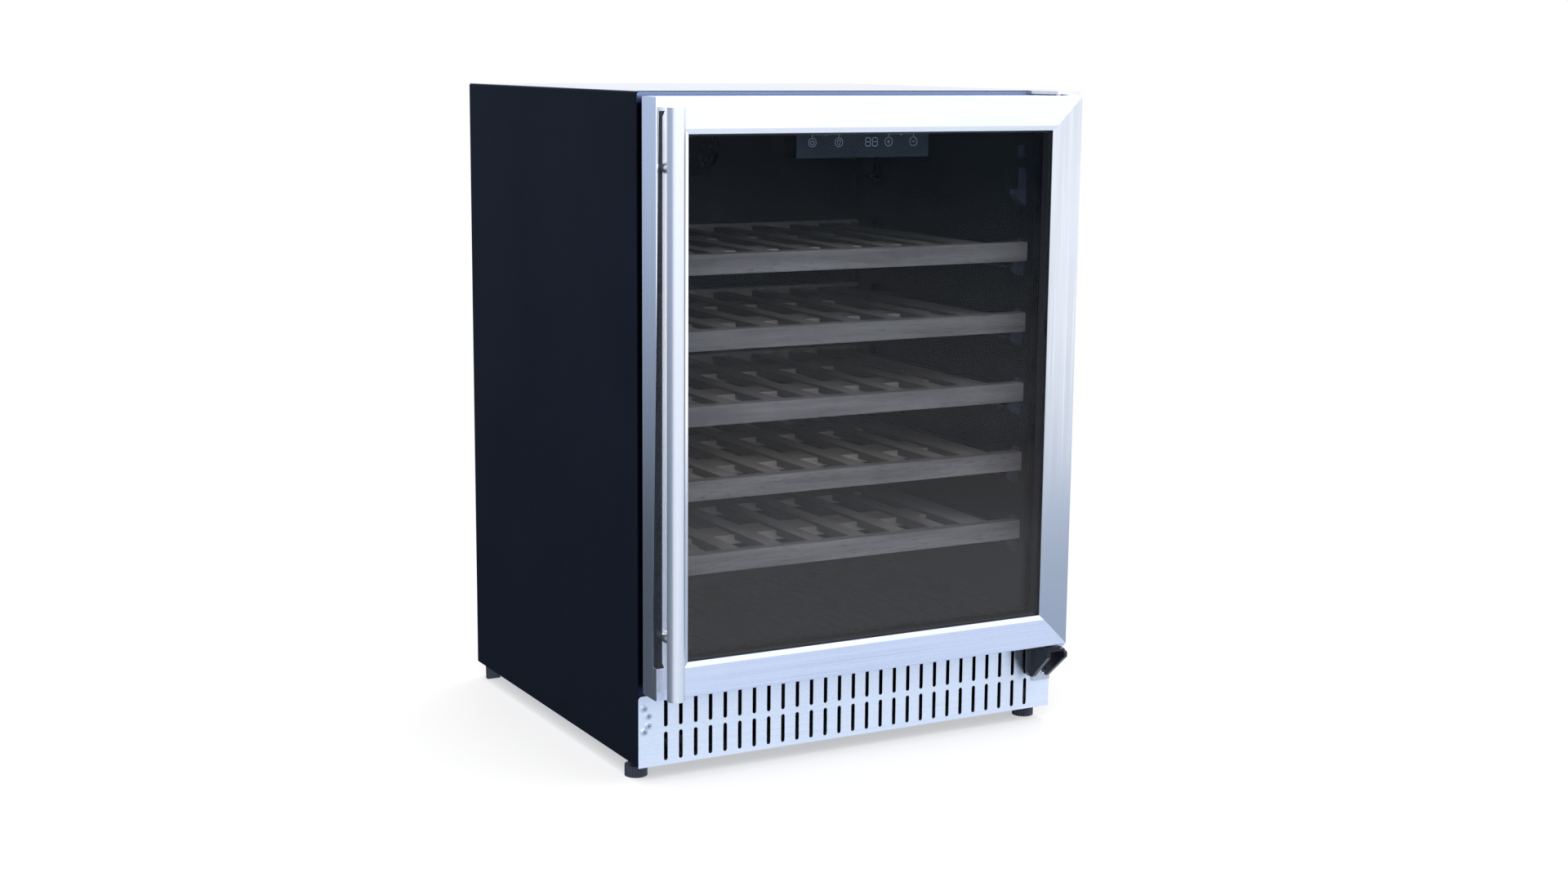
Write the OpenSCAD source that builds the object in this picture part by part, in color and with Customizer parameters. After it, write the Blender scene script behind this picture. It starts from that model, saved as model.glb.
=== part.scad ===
// Undercounter glass-door refrigerator with five wooden bottle racks.
// Frame: +Z up, the door faces -Y, origin on the floor at the centre of the footprint.
// Every module below is drawn in the cabinet's frame, whose y = 0 is the front flange.

/* [Cabinet] */
// Width of the cabinet over its sides
cab_w = 595; // [590:1:600]
// Depth of the cabinet from its front flange to its back
cab_d = 532; // [528:1:545]
// Height of the cabinet's top above the floor
cab_top = 821.5; // [820:0.5:830]
// Height of the cabinet's underside above the floor
base_z = 22; // [21:0.5:24]
// Thickness of the cabinet's steel sheet
sheet_t = 1; // [0.8:0.1:1.2]

/* [Cavity] */
// Thickness of each side wall, outer sheet to cavity
side_wall = 35.5; // [35:0.5:36]
// Depth of the cavity behind the front flange
cavity_d = 485; // [480:1:488]
// Height of the cavity's floor above the floor of the room
cavity_floor = 150; // [148:1:151]
// Height of the cavity's ceiling above the floor of the room
cavity_ceiling = 780; // [778:1:782]
// Distance between neighbouring floor ribs
rib_pitch = 20; // [18:1:24]

/* [Door] */
// Width of the door
door_w = 585; // [583:1:586]
// Sideways offset of the door's centre from the cabinet's
door_shift = -3.5; // [-4:0.5:-3]
// Height of the door's lower edge above the floor
door_bottom = 115.7; // [115.5:0.1:116]
// Height of the door's upper edge above the floor
door_top = 816; // [815.8:0.1:816.4]
// Depth of the steel door frame
door_t = 37; // [36:0.5:38]
// Gap between the door frame and the cabinet, filled by the gasket
door_gap = 12.5; // [12:0.5:13]
// Width of the flat face of each frame member
face_w = 36; // [34:1:37]
// Width of the sloping inner edge of each frame member
bevel_w = 6; // [5:1:7]

/* [Handle] */
// Diameter of the handle tube
handle_d = 21; // [19:1:22]
// Length of the handle tube
handle_len = 683; // [600:1:690]
// Distance from the door's face to the tube's centre line
handle_standoff = 25; // [24:1:40]
// Distance between the two handle posts
post_span = 545; // [500:1:560]

/* [Bottle racks] */
// Number of racks
racks = 5; // [5:1:5]
// Height of the lowest rack's front rail top above the floor
rack_z = 270.5; // [269:0.5:272]
// Vertical distance between neighbouring racks
rack_pitch = 90.2; // [89:0.1:91]
// Height of a rack's front rail
rail_h = 24.5; // [23:0.5:25]
// Width of a slat
slat_w = 23; // [20:1:30]
// Distance between neighbouring slats' centres
slat_pitch = 60; // [56:1:61]

/* [Kickplate] */
// Number of slots in each row
slot_count = 27; // [15:2:27]
// Distance between neighbouring slots' centres
slot_pitch = 20; // [18:0.5:20]
// Width of a slot
slot_w = 5; // [3:0.5:6]

/* [Hidden] */
$fn = 48;

fit = 0.05;               // gap between pieces that stay together
run = 0.05;               // radial clearance of a pin that turns or slides
half_w = cab_w / 2;
inner_w = half_w - side_wall;   // half the cavity's width
cord_proj = 24;           // how far the plug stands out behind the cabinet
handle_front = door_gap + door_t + handle_standoff + handle_d / 2;
flange_y = -(handle_front + cab_d + cord_proj) / 2 + handle_front;

// Door
front_y = -door_gap - door_t;
door_l = door_shift - door_w / 2;
door_r = door_shift + door_w / 2;
bevel_d = 2.5;
skin = 1.2;               // thickness of the door frame's sheet
glass_t = 4;
glass_w = face_w + 1.5;   // distance from the door's edge to the glass's edge
glass_y = front_y + bevel_d + skin + fit;
spacer_t = 12;
inner_glass_y = glass_y + glass_t + spacer_t + 2 * fit;
mirror_w = 43;            // distance from the door's edge to the inner frame's opening
gasket_in = 12;           // distance from the door's edge to the gasket
gasket_w = 15;
gasket_lift = 0.3;        // gap that the soft gasket closes on the cabinet
mitre = 50;
mitre_gap = 0.04;

// Hinge axis
hinge_x = door_r - 9;
hinge_y = -21;
pin_r = 4;
bush_r = 6.5;
leaf_z = door_bottom - 6.2;     // underside of the bottom hinge's leaf

// Handle
handle_x = door_l + 13.3;
post_r = 6.8;
handle_head_r = 4.4;      // heads of the screws that hold the posts
handle_y = front_y - handle_standoff;
handle_mid = (door_bottom + door_top) / 2 - 2.85;
post_mid = (door_bottom + door_top) / 2 - 1.45;
screw_r = 2.5;

// Finger grip let into the left stile's front corner
grip_z0 = door_bottom + 39.3;
grip_z1 = door_top - 15.8;

// Machine compartment under the cavity
step_y = 330;             // where the cavity's floor steps up over the compressor
step_z = 234;
floor_foam_z = 118;       // underside of the insulation at the front
bay_y = 357;              // front of the tall part of the compartment
bay_z = 206;              // ceiling of the tall part
kick_top = 108.7;
kick_t = 1.5;
slot_shift = 0.8;         // the rows sit slightly to the left of the middle
liner_t = 1.5;
base_t = 1.5;
drain = [60, 472];        // drain tube's place
drain_r = 6;
suction = [205, 472];     // suction line's place
suction_r = 4;
comp = [150, 443];        // compressor's centre
shell_r = 74;
coil_l = -255;            // condenser coil's two ends
coil_r = 60;
coil_y = 87;              // condenser coil's middle
pipe_out = 6;             // how far a coil's tubes stand out beyond its fins
cord = [-120, 50];        // place of the power cord's grommet, x and z
foot_x = 283;
foot_y = 36;
rear_foot_x = [272.5, 291];      // extent of a rear foot across the cabinet
rear_foot_y = [511, 518];
stem_r = 4;

// Screws, as x and z
screw_shank = 2;
hinge_screws = [[289.5, 93.4], [284, 83.7], [284, 71.4], [289.5, 64.4]];
top_hinge_screws = [[288.5, 796], [288.5, 810]];
under_screws = [[285, 328], [-285, 328], [2, 8]];     // x and y, through the base plate
leg_front = -kick_t - 3 - fit;      // front face of the bottom bracket's upright leg

// Back wall of the cavity
cover_y = 457;
fan_z = 735;
fan_c = [0, cover_y + 2.5, fan_z];
cond_fan_c = [-100, 150, 70];
panel_l = -87.5;
panel_r = 96.5;
panel_z = 742;

// Racks
rack_front = 12;
rail_t = 16.9;
rack_back = 444;
rack_half = 254;
side_rail_in = 185;
side_rail_out = 226.9;
slat_drop = 4.5;          // how far the slats lie below the rail tops
slat_t = 10;
cross_ys = [130, 300];
cross_w = 50;
lap = 3.5;                // slat thickness left over a cross rail
bracket_y = 29.5;
rear_bracket_y = 392;
bracket_w = 12.5;
channel_x = inner_w - 17 - fit;
runner_y = 32;

function rack_top(k) = rack_z + (racks - k) * rack_pitch;
function arc(c, r, a0, a1, n) = [for (i = [0:n]) let(a = a0 + (a1 - a0) * i / n) c + r * [cos(a), sin(a)]];
function round_box(x0, y0, x1, y1, r, n = 6) = concat(
    arc([x1 - r, y1 - r], r, 0, 90, n), arc([x0 + r, y1 - r], r, 90, 180, n),
    arc([x0 + r, y0 + r], r, 180, 270, n), arc([x1 - r, y0 + r], r, 270, 360, n));
function slot_outline(x, z0, z1, w, n = 4) = concat(
    arc([x, z1 - w / 2], w / 2, 0, 180, n), arc([x, z0 + w / 2], w / 2, 180, 360, n));

module in_place() translate([0, flange_y, 0]) children();
module block(a, b) translate(a) cube(b - a);
module along_x(x0, x1) translate([x0, 0, 0]) rotate([90, 0, 90]) linear_extrude(x1 - x0) children();
module along_y(y0, y1) translate([0, y1, 0]) rotate([90, 0, 0]) linear_extrude(y1 - y0) children();
module along_z(z0, z1) translate([0, 0, z0]) linear_extrude(z1 - z0) children();
module disc_y(p, r, h) translate(p) rotate([-90, 0, 0]) cylinder(r = r, h = h);
module disc_x(p, r, h) translate(p) rotate([0, 90, 0]) cylinder(r = r, h = h);
module disc_z(p, r, h) translate(p) cylinder(r = r, h = h);
module both_sides() {
    children();
    mirror([1, 0, 0]) children();
}

// A tube through the points, with a slightly fatter brazed joint at each bend.
module tube_path(points, r) {
    for (i = [0:len(points) - 2]) {
        v = points[i + 1] - points[i];
        translate(points[i]) rotate([0, acos(v.z / norm(v)), atan2(v.y, v.x)]) cylinder(r = r, h = norm(v));
    }
    for (i = [1:len(points) - 2]) translate(points[i]) sphere(r = r + 0.4, $fn = 24);
}

// A pan-head screw with a cross recess, its head outside and its shank along +Y.
module screw_y(p, head_r = 4, shank = 8) difference() {
    union() {
        disc_y(p - [0, 2, 0], head_r, 2);
        disc_y(p, screw_shank, shank);
    }
    for (a = [0, 90]) translate(p - [0, 2, 0]) rotate([0, a, 0]) cube([head_r, 2, 0.9], center = true);
}

/* Cabinet shell */

module cabinet_wrapper() color("#171c26") in_place() along_y(0, cab_d) difference() {
    polygon(concat([[half_w, base_z]], arc([half_w - 3, cab_top - 3], 3, 0, 90, 6),
        arc([3 - half_w, cab_top - 3], 3, 90, 180, 6), [[-half_w, base_z]]));
    polygon(concat([[half_w - sheet_t, base_z - 1]],
        arc([half_w - 3, cab_top - 3], 3 - sheet_t, 0, 90, 6),
        arc([3 - half_w, cab_top - 3], 3 - sheet_t, 90, 180, 6), [[sheet_t - half_w, base_z - 1]]));
}

module back_panel() color("#2b2f36") in_place() difference() {
    block([-half_w + sheet_t + fit, cab_d - 1, bay_z], [half_w - sheet_t - fit, cab_d, cab_top - 3.2]);
    // pressed stiffening grooves
    for (x = [-200, 0, 200]) block([x - 6, cab_d - 0.5, 300], [x + 6, cab_d + 1, 740]);
}

module base_plate() color("#7d828a") in_place() difference() {
    out = half_w - sheet_t - fit;
    union() {
        block([-out, 0.1, base_z], [out, cab_d - 1.2, base_z + base_t]);
        both_sides() block([out - base_t, 0.1, base_z], [out, cab_d - 1.2, base_z + 8]);
        both_sides() disc_z([foot_x, foot_y, base_z], 8, 16);
    }
    both_sides() disc_z([foot_x, foot_y, base_z - 1], stem_r + 0.08, 30);
    for (s = under_screws) disc_z([s.x, s.y, base_z - 1], screw_shank + fit, 4);
}

module front_face_frame() color("#7f88a6") in_place() along_y(0, 1) difference() {
    polygon([[-half_w + sheet_t + fit, kick_top + 0.2], [half_w - sheet_t - fit, kick_top + 0.2],
        [half_w - sheet_t - fit, cab_top - 3.2], [half_w - 3.2, cab_top - sheet_t - fit],
        [3.2 - half_w, cab_top - sheet_t - fit], [-half_w + sheet_t + fit, cab_top - 3.2]]);
    hole_w = inner_w + liner_t + fit;
    translate([-hole_w, cavity_floor - liner_t - fit])
        square([2 * hole_w, cavity_ceiling - cavity_floor + 2 * (liner_t + fit)]);
    for (s = top_hinge_screws) translate(s) circle(r = screw_shank + fit);
}

// Side outline of the cavity, grown outwards by g, as points in the y-z plane.
function cavity_outline(g) = [[-1, cavity_floor - g], [step_y + g, cavity_floor - g], [step_y + g, step_z - g],
    [cavity_d + g, step_z - g], [cavity_d + g, cavity_ceiling + g], [-1, cavity_ceiling + g]];

module foam_insulation() color("#d8c9a0") in_place() difference() {
    foam_back = cab_d - 1 - fit;
    along_x(-half_w + sheet_t + fit, half_w - sheet_t - fit) polygon([[1 + fit, floor_foam_z],
        [bay_y, floor_foam_z], [bay_y, bay_z], [foam_back, bay_z], [foam_back, cab_top - 3.2],
        [1 + fit, cab_top - 3.2]]);
    along_x(-inner_w - liner_t - fit, inner_w + liner_t + fit) polygon(cavity_outline(liner_t + fit));
    pipe_holes(bay_z - 1, 40);
    for (s = top_hinge_screws) disc_y([s.x, 0, s.y], screw_shank + fit, 8);
}

module pipe_holes(z, h) {
    disc_z([drain.x, drain.y, z], drain_r + fit, h);
    disc_z([suction.x, suction.y, z], suction_r + 1, h);
}

module inner_liner() color("#16181b") in_place() {
    difference() {
        along_x(-inner_w - liner_t, inner_w + liner_t)
            polygon([for (p = cavity_outline(liner_t)) [max(p.x, 0.1), p.y]]);
        along_x(-inner_w, inner_w) polygon(cavity_outline(0));
        pipe_holes(step_z - 5, 10);
    }
    for (x = [-12 * rib_pitch:rib_pitch:12 * rib_pitch])
        translate([x, 0, cavity_floor]) along_y(14, step_y - 12)
            polygon([[-2.5, -0.5], [2.5, -0.5], [1.5, 2.5], [-1.5, 2.5]]);
}

module kickplate_grille() color("#c9ced8") in_place() difference() {
    along_y(-kick_t, -fit) difference() {
        polygon(concat(arc([half_w - 5.5, kick_top - 5], 5, 0, 90, 6),
            arc([5.5 - half_w, kick_top - 5], 5, 90, 180, 6), [[0.5 - half_w, 20]], [[half_w - 0.5, 20]]));
        for (i = [0:slot_count - 1]) {
            x = (i - (slot_count - 1) / 2) * slot_pitch - slot_shift;
            polygon(slot_outline(x, 25.5, 61.5, slot_w));
            polygon(slot_outline(x, 67.5, 103.5, slot_w));
        }
    }
    both_sides() for (s = hinge_screws) disc_y([s.x, -3, s.y], screw_shank + fit, 5);
}

module cabinet_screws() color("#b9bcc2") in_place() {
    for (s = hinge_screws) screw_y([-s.x, -kick_t - fit, s.y]);
    for (s = hinge_screws) screw_y([s.x, leg_front - fit, s.y]);
    for (s = top_hinge_screws) screw_y([s.x, -2 - 2 * fit, s.y], 3.6, 9);
    for (s = under_screws) translate([s.x, s.y, base_z - fit]) rotate([90, 0, 0]) screw_y([0, 0, 0], 3.5, 6);
}

module rear_cover() color("#3a3e45") in_place() difference() {
    block([-half_w + sheet_t + fit, cab_d - 1, base_z + 1], [half_w - sheet_t - fit, cab_d, bay_z - fit]);
    for (x = [-200:50:250], z = [70:24:166]) block([x - 36, cab_d - 3, z], [x - 4, cab_d + 1, z + 7]);
    disc_y([cord.x, cab_d - 3, cord.y], 7 + fit, 5);
}

/* Cavity fittings */

module evaporator_cover() color("#1a1c20") in_place() difference() {
    block([-inner_w + 1, cover_y, step_z + 1], [inner_w - 1, cover_y + 2, cavity_ceiling - 1]);
    // ring of slots in front of the fan
    for (r = [14, 24, 34], a = [0:60:300]) rotate_about_fan(a) fan_slot(r);
    // return air slots near the bottom
    for (x = [-200:25:200]) along_y(cover_y - 1, cover_y + 4) polygon(slot_outline(x, 262, 296, 8));
}

module rotate_about_fan(a) translate([0, 0, fan_z]) rotate([0, a, 0]) translate([0, 0, -fan_z]) children();
module fan_slot(r) translate([0, cover_y + 4, fan_z]) rotate([90, 0, 0]) rotate_extrude(angle = 48)
    translate([r, 0]) square([6, 6]);

// Axial fan housing in the x-z plane: s is its side, t its depth, r its bore.
module fan_housing(c, s, t, r) difference() {
    union() {
        difference() {
            block(c + [-s / 2, 0, -s / 2], c + [s / 2, t, s / 2]);
            disc_y(c - [0, 1, 0], r, t + 2);
        }
        disc_y(c + [0, t - 6, 0], 13, 6);
        for (a = [30, 150, 270]) translate(c) rotate([0, a, 0]) block([10, t - 3, -1.5], [r + 1, t - 0.5, 1.5]);
        disc_y(c + [0, 3, 0], 2, t - 5);
    }
    for (x = [-1, 1], z = [-1, 1]) disc_y(c + [x * (s / 2 - 5), -1, z * (s / 2 - 5)], 2, t + 2);
}

// Fan rotor that turns on the housing's shaft.
module fan_wheel(c, r, t) difference() {
    union() {
        disc_y(c + [0, 2, 0], 14, t - 9);
        intersection() {
            disc_y(c + [0, 2, 0], r, t - 9);
            for (a = [0:360 / 7:359]) translate(c + [0, t / 2 - 2, 0]) rotate([0, a, 0])
                translate([(r + 12) / 2, 0, 0]) rotate([35, 0, 0]) cube([r + 4, t - 12, 1.6], center = true);
            }
    }
    disc_y(c + [0, -1, 0], 2 + run, t + 2);
}

module circulation_fan_frame() color("#101214") in_place() fan_housing(fan_c, 88, 22, 42);
module circulation_fan_rotor() color("#22252a") in_place() fan_wheel(fan_c, 40, 22);
module condenser_fan_frame() color("#101214") in_place() fan_housing(cond_fan_c, 90, 25, 42.5);
module condenser_fan_rotor() color("#22252a") in_place() fan_wheel(cond_fan_c, 40.5, 25);

// Finned coil: fins in the y-z plane crossed by tubes along x, joined at alternate ends by return bends.
module finned_coil(x0, x1, y0, y1, z0, z1, fins, tubes, r) {
    pitch = (z1 - z0) / tubes;
    y = (y0 + y1) / 2;
    for (i = [0:fins - 1]) {
        x = x0 + (x1 - x0) * i / (fins - 1);
        block([x - 0.4, y0, z0], [x + 0.4, y1, z1]);
    }
    for (j = [0:tubes - 1])
        disc_x([x0 - pipe_out, y, z0 + pitch * (j + 0.5)], r, x1 - x0 + 2 * pipe_out);
    for (j = [0:tubes - 2]) {
        right = j % 2 == 0;
        bend_x = right ? x1 + pipe_out - 0.5 : x0 - pipe_out + 0.5;
        translate([bend_x, y, z0 + pitch * (j + 1)]) rotate([90, 0, 0]) rotate([0, 0, right ? -90 : 90])
            rotate_extrude(angle = 180) translate([pitch / 2, 0]) circle(r = r + 0.3);
    }
}

module evaporator_coil() color("#b4b8bd") in_place()
    finned_coil(-190, 190, 463, 481, 330, 660, fins = 24, tubes = 8, r = 4);
module condenser_coil() color("#6b6f75") in_place()
    finned_coil(coil_l, coil_r, coil_y - 25, coil_y + 25, 30, 110, fins = 26, tubes = 5, r = 3.5);

module drain_tube() color("#d9d9d4") in_place() difference() {
    disc_z([drain.x, drain.y, 195], drain_r, step_z - 195);
    disc_z([drain.x, drain.y, 190], drain_r - 1.5, 60);
}

module temperature_sensor() color("#e4e4e0") in_place() {
    disc_z([170, cover_y - 9, 560], 4, 34);
    block([163, cover_y - 5, 566], [177, cover_y - fit, 586]);
}

module control_housing() color("#15171b") in_place() difference() {
    block([panel_l, 4 + fit, panel_z], [panel_r, 31, cavity_ceiling - fit]);
    block([panel_l + 2, 6, panel_z + 2], [panel_r - 2, 29, cavity_ceiling - 4]);
}

module touch_panel() color("#3d4658") in_place() along_y(2, 4)
    polygon(round_box(panel_l, panel_z, panel_r, cavity_ceiling - 1, 2));

module light_strip() color("#f4f4ee") in_place() {
    block([panel_l + 8, 34, cavity_ceiling - 6], [panel_r - 8, 46, cavity_ceiling - fit]);
    for (x = [panel_l + 24:20:panel_r - 20])
        block([x, 37, cavity_ceiling - 7.2], [x + 5, 43, cavity_ceiling - 6]);
}

// Wall bracket: an upright on the wall, a short arm, and a gusset under the arm down to drop.
module wall_bracket(top, y, drop) along_y(y, y + bracket_w) polygon([[inner_w - fit, top + 2],
    [inner_w - 4, top + 2], [inner_w - 4, top - 25], [inner_w - 17, top - 25],
    [inner_w - 17, top - 18.5 - drop / 3.5], [inner_w - 4, top - drop], [inner_w - fit, top - drop]]);

module wall_brackets() color("#8e939c") in_place() both_sides() {
    for (k = [0:racks]) {
        wall_bracket(rack_top(k), bracket_y, 44);
        wall_bracket(rack_top(k), rear_bracket_y, 34);
    }
    block([inner_w - 4, 32, 737], [inner_w - fit, 44, 752]);
}

module runner_channel(top) along_y(runner_y, 428) polygon([[channel_x, top - 34], [channel_x, top - 6],
    [channel_x - 8.4, top - 6], [channel_x - 8.4, top - 7.2], [channel_x - 1.2, top - 7.2],
    [channel_x - 1.2, top - 32.8], [channel_x - 8.4, top - 32.8], [channel_x - 8.4, top - 34]]);

module runner_channels() color("#4a4e55") in_place() both_sides()
    for (k = [1:racks]) runner_channel(rack_top(k));

// Moving member of a telescopic runner, fixed to the rack's side rail.
module rack_runners(k) in_place() both_sides() along_y(runner_y, 424) {
    top = rack_top(k);
    polygon([[side_rail_out + fit, top - 30], [side_rail_out + 1.5, top - 30], [side_rail_out + 1.5, top - 21],
        [channel_x - 2, top - 21], [channel_x - 2, top - 19], [side_rail_out + 1.5, top - 19],
        [side_rail_out + 1.5, top - 10], [side_rail_out + fit, top - 10]]);
}

module slat(x, top) difference() {
    block([x - slat_w / 2, rack_front + rail_t + fit, top - slat_drop - slat_t],
        [x + slat_w / 2, rack_back - 14 - fit, top - slat_drop]);
    for (y = cross_ys) block([x - slat_w, y - fit, top - slat_drop - slat_t - 1],
        [x + slat_w, y + cross_w + fit, top - slat_drop - lap + fit]);
}

// One wooden rack: front, back and side rails, two cross rails, and six slats lapped over them.
module rack(k) in_place() {
    top = rack_top(k);
    along_x(-rack_half, rack_half)
        polygon(round_box(rack_front, top - rail_h, rack_front + rail_t, top, 1.2, 3));
    along_y(rack_back - 14, rack_back) polygon([[-250, top], [250, top], [250, top - 5.5],
        [side_rail_out, top - 5.5], [side_rail_out, top - 22], [-side_rail_out, top - 22],
        [-side_rail_out, top - 5.5], [-250, top - 5.5]]);
    both_sides() block([side_rail_in, rack_front + rail_t + fit, top - 22],
        [side_rail_out, rack_back - 14 - fit, top - slat_drop]);
    for (y = cross_ys)
        block([-side_rail_in + fit, y, top - 20], [side_rail_in - fit, y + cross_w, top - slat_drop - lap]);
    for (i = [-2.5:2.5]) slat(i * slat_pitch, top);
}

/* Machine compartment */

module at_compressor() in_place() translate(comp) children();

module compressor() color("#121315") at_compressor() {
    translate([0, 0, 40]) rotate_extrude($fn = 64) polygon(concat([[0, 0]], [[60, 0]],
        arc([shell_r - 12, 12], 12, -60, 0, 4), arc([shell_r - 30, 110], 30, 0, 90, 6), [[0, 140]], [[0, 136]],
        arc([shell_r - 30, 110], 26, 90, 0, 6), [[shell_r - 4, 12]], [[60, 4]], [[0, 4]]));
    disc_z([0, 0, 44 + fit], 44, 86);
    difference() {
        block([-95, -62, 36], [95, 62, 40 - fit]);
        grommet_places() disc_z([0, 0, 30], 5.5, 20);
    }
    // relay and terminal box
    block([-118, -26, 62], [-76, 26, 128]);
}

module grommet_places() for (x = [-82, 82], y = [-50, 50]) translate([x, y, 0]) children();

module compressor_grommets() color("#202020") at_compressor() grommet_places() {
    disc_z([0, 0, base_z + base_t + fit], 10, 36 - base_z - base_t - 2 * fit);
    disc_z([0, 0, 35], 5.4, 6);
    disc_z([0, 0, 40 + fit], 8, 3);
}

module refrigerant_lines() color("#b8733f") in_place() {
    // suction line from the evaporator down to the compressor's shell
    elbow = [suction.x + 34, suction.y];
    port = comp + (elbow - comp) * (shell_r + 2 * fit) / norm(elbow - comp);
    tube_path([[suction.x, suction.y, 326], [suction.x, suction.y, 198], [elbow.x, elbow.y, 198],
        [elbow.x, elbow.y, 100], [port.x, port.y, 100]], suction_r);
    // discharge line to the condenser's top tube
    tube_path([[comp.x, comp.y - shell_r - 2 * fit, 102], [comp.x, 340, 102], [80, 340, 102], [80, coil_y, 102],
        [coil_r + pipe_out + 2 * fit, coil_y, 102]], 3);
    // condenser's bottom tube, filter drier and capillary
    tube_path([[coil_l - pipe_out - 2 * fit, coil_y, 38], [-270, coil_y, 38], [-270, 210, 60], [-230, 210, 60],
        [-230, 230.5, 60]], 2.5);
    disc_y([-230, 230, 60], 9, 90);
    tube_path([[-230, 319.5, 60], [-230, 345, 60], [-230, 345, 100], [-110, 345, 100],
        [-110, 345, floor_foam_z - fit]], 1.5);
}

module drain_pan() color("#c8c8c2") at_compressor() difference() {
    block([-130, -70, 184], [48, 80, 198]);
    block([-128, -68, 186], [46, 78, 200]);
}

module power_board_box() color("#d5d7d9") in_place() {
    difference() {
        block([-280, 400, 40], [-150, 490, 96]);
        block([-278, 402, 42], [-152, 488, 100]);
    }
    block([-280, 400, 96 + fit], [-150, 490, 99]);
    block([-272, 408, 47], [-158, 482, 48.6]);
    board_feet() disc_z([0, 0, base_z + base_t + fit], 4, 40 - base_z - base_t - 2 * fit);
}

module board_feet() for (x = [-268, -162], y = [412, 478]) translate([x, y, 0]) children();

module power_cord() color("#0f0f10") in_place() {
    disc_y([cord.x, cab_d - 6, cord.y], 7, 14);
    tube_path([[cord.x, cab_d + 6, cord.y], [cord.x, cab_d + 12, cord.y], [cord.x, cab_d + 12, 330]], 3.5);
    // coiled length against the back
    coil_x = cord.x + 66;
    for (r = [48, 56, 64]) translate([coil_x, cab_d + 5, 330]) rotate([90, 0, 0]) rotate_extrude()
        translate([r, 0]) circle(r = 3.5, $fn = 24);
    // plug with two pins
    block([coil_x - 16, cab_d + 2, 210], [coil_x + 16, cab_d + cord_proj, 250]);
    for (x = [-8, 8]) disc_z([coil_x + x, cab_d + 13, 191], 2.4, 20);
    disc_z([coil_x, cab_d + 11, 249], 5, 40);
}

/* Door */

// Section of a frame member: w in from the door's edge, d back from its face.
member = concat(arc([1.6, 1.6], 1.6, 180, 270, 5), [[face_w, 0], [face_w + bevel_w, bevel_d],
    [face_w + bevel_w, bevel_d + skin], [face_w - 0.3, skin], [skin, skin], [skin, door_t], [0, door_t]]);

module stile(edge, dir) intersection() {
    translate([0, 0, door_bottom]) linear_extrude(door_top - door_bottom)
        polygon([for (p = member) [edge + dir * p.x, front_y + p.y]]);
    low = door_bottom + mitre_gap;
    high = door_top - mitre_gap;
    along_y(front_y - 1, 0) polygon([[edge, low], [edge, high], [edge + dir * mitre, high - mitre],
        [edge + dir * mitre, low + mitre]]);
}

module rail(edge, dir) intersection() {
    along_x(door_l, door_r) polygon([for (p = member) [front_y + p.y, edge + dir * p.x]]);
    along_y(front_y - 1, 0) polygon([[door_l, edge], [door_r, edge],
        [door_r - mitre, edge + dir * mitre], [door_l + mitre, edge + dir * mitre]]);
}

// Finger grip: a wedge across the corner that leans towards the side at the bottom,
// with a small flare at each end. g shrinks it to give the insert its fit.
module grip_shape(g, depth) {
    hull() {
        translate([door_l, front_y, grip_z0 + g]) linear_extrude(0.01)
            polygon([[-5 + g, -1], [7.6 - g, -1], [7.6 - g, depth], [depth * 0.45 - 4.5 + g, depth]]);
        translate([door_l, front_y, grip_z1 - g]) linear_extrude(0.01)
            polygon([[3.3 + g, -1], [8.3 - g, -1], [8.3 - g, depth], [depth * 0.45 + 3.7 + g, depth]]);
    }
    along_y(front_y - 1, front_y + 2) {
        polygon([[door_l + 7.2, grip_z1 - g], [door_l + 11.2 - g, grip_z1 - g], [door_l + 7.2, grip_z1 - 9]]);
        polygon([[door_l + 7.2, grip_z0 + g], [door_l + 10.2 - g, grip_z0 + g], [door_l + 7.2, grip_z0 + 8]]);
    }
}

module post_places() for (z = [-1, 1]) translate([handle_x, 0, post_mid + z * post_span / 2]) children();

module door_left_stile() color("#c4c9d2") in_place() difference() {
    stile(door_l, 1);
    grip_shape(0, 9);
    post_places() disc_y([0, front_y - 1, 0], screw_r + fit, 4);
}

module door_right_stile() color("#c4c9d2") in_place() stile(door_r, -1);

module door_top_rail() color("#d4d8df") in_place() difference() {
    rail(door_top, -1);
    disc_z([hinge_x, hinge_y, door_top - 3], bush_r + fit, 5);
}

module door_bottom_rail() color("#c9ced8") in_place() difference() {
    rail(door_bottom, 1);
    disc_z([hinge_x, hinge_y, door_bottom - 2], bush_r + fit, 5);
}

// Rectangle with rounded corners, inset by w from the door's edge.
module door_rect(w, r) polygon(round_box(door_l + w, door_bottom + w, door_r - w, door_top - w, r));

module pane(y) along_y(y, y + glass_t) door_rect(glass_w, 3);

module outer_glass() color("#1d2126", 0.6) in_place() pane(glass_y);
module inner_glass() color("#1d2126", 0.6) in_place() pane(inner_glass_y);

module door_ring(w0, w1, y0, y1, r) along_y(y0, y1) difference() {
    door_rect(w0, 0.5);
    door_rect(w1, r);
}

module glass_spacer() color("#2a2d31") in_place()
    door_ring(glass_w + 0.5, 44.5, glass_y + glass_t + fit, inner_glass_y - fit, 4);

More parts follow.
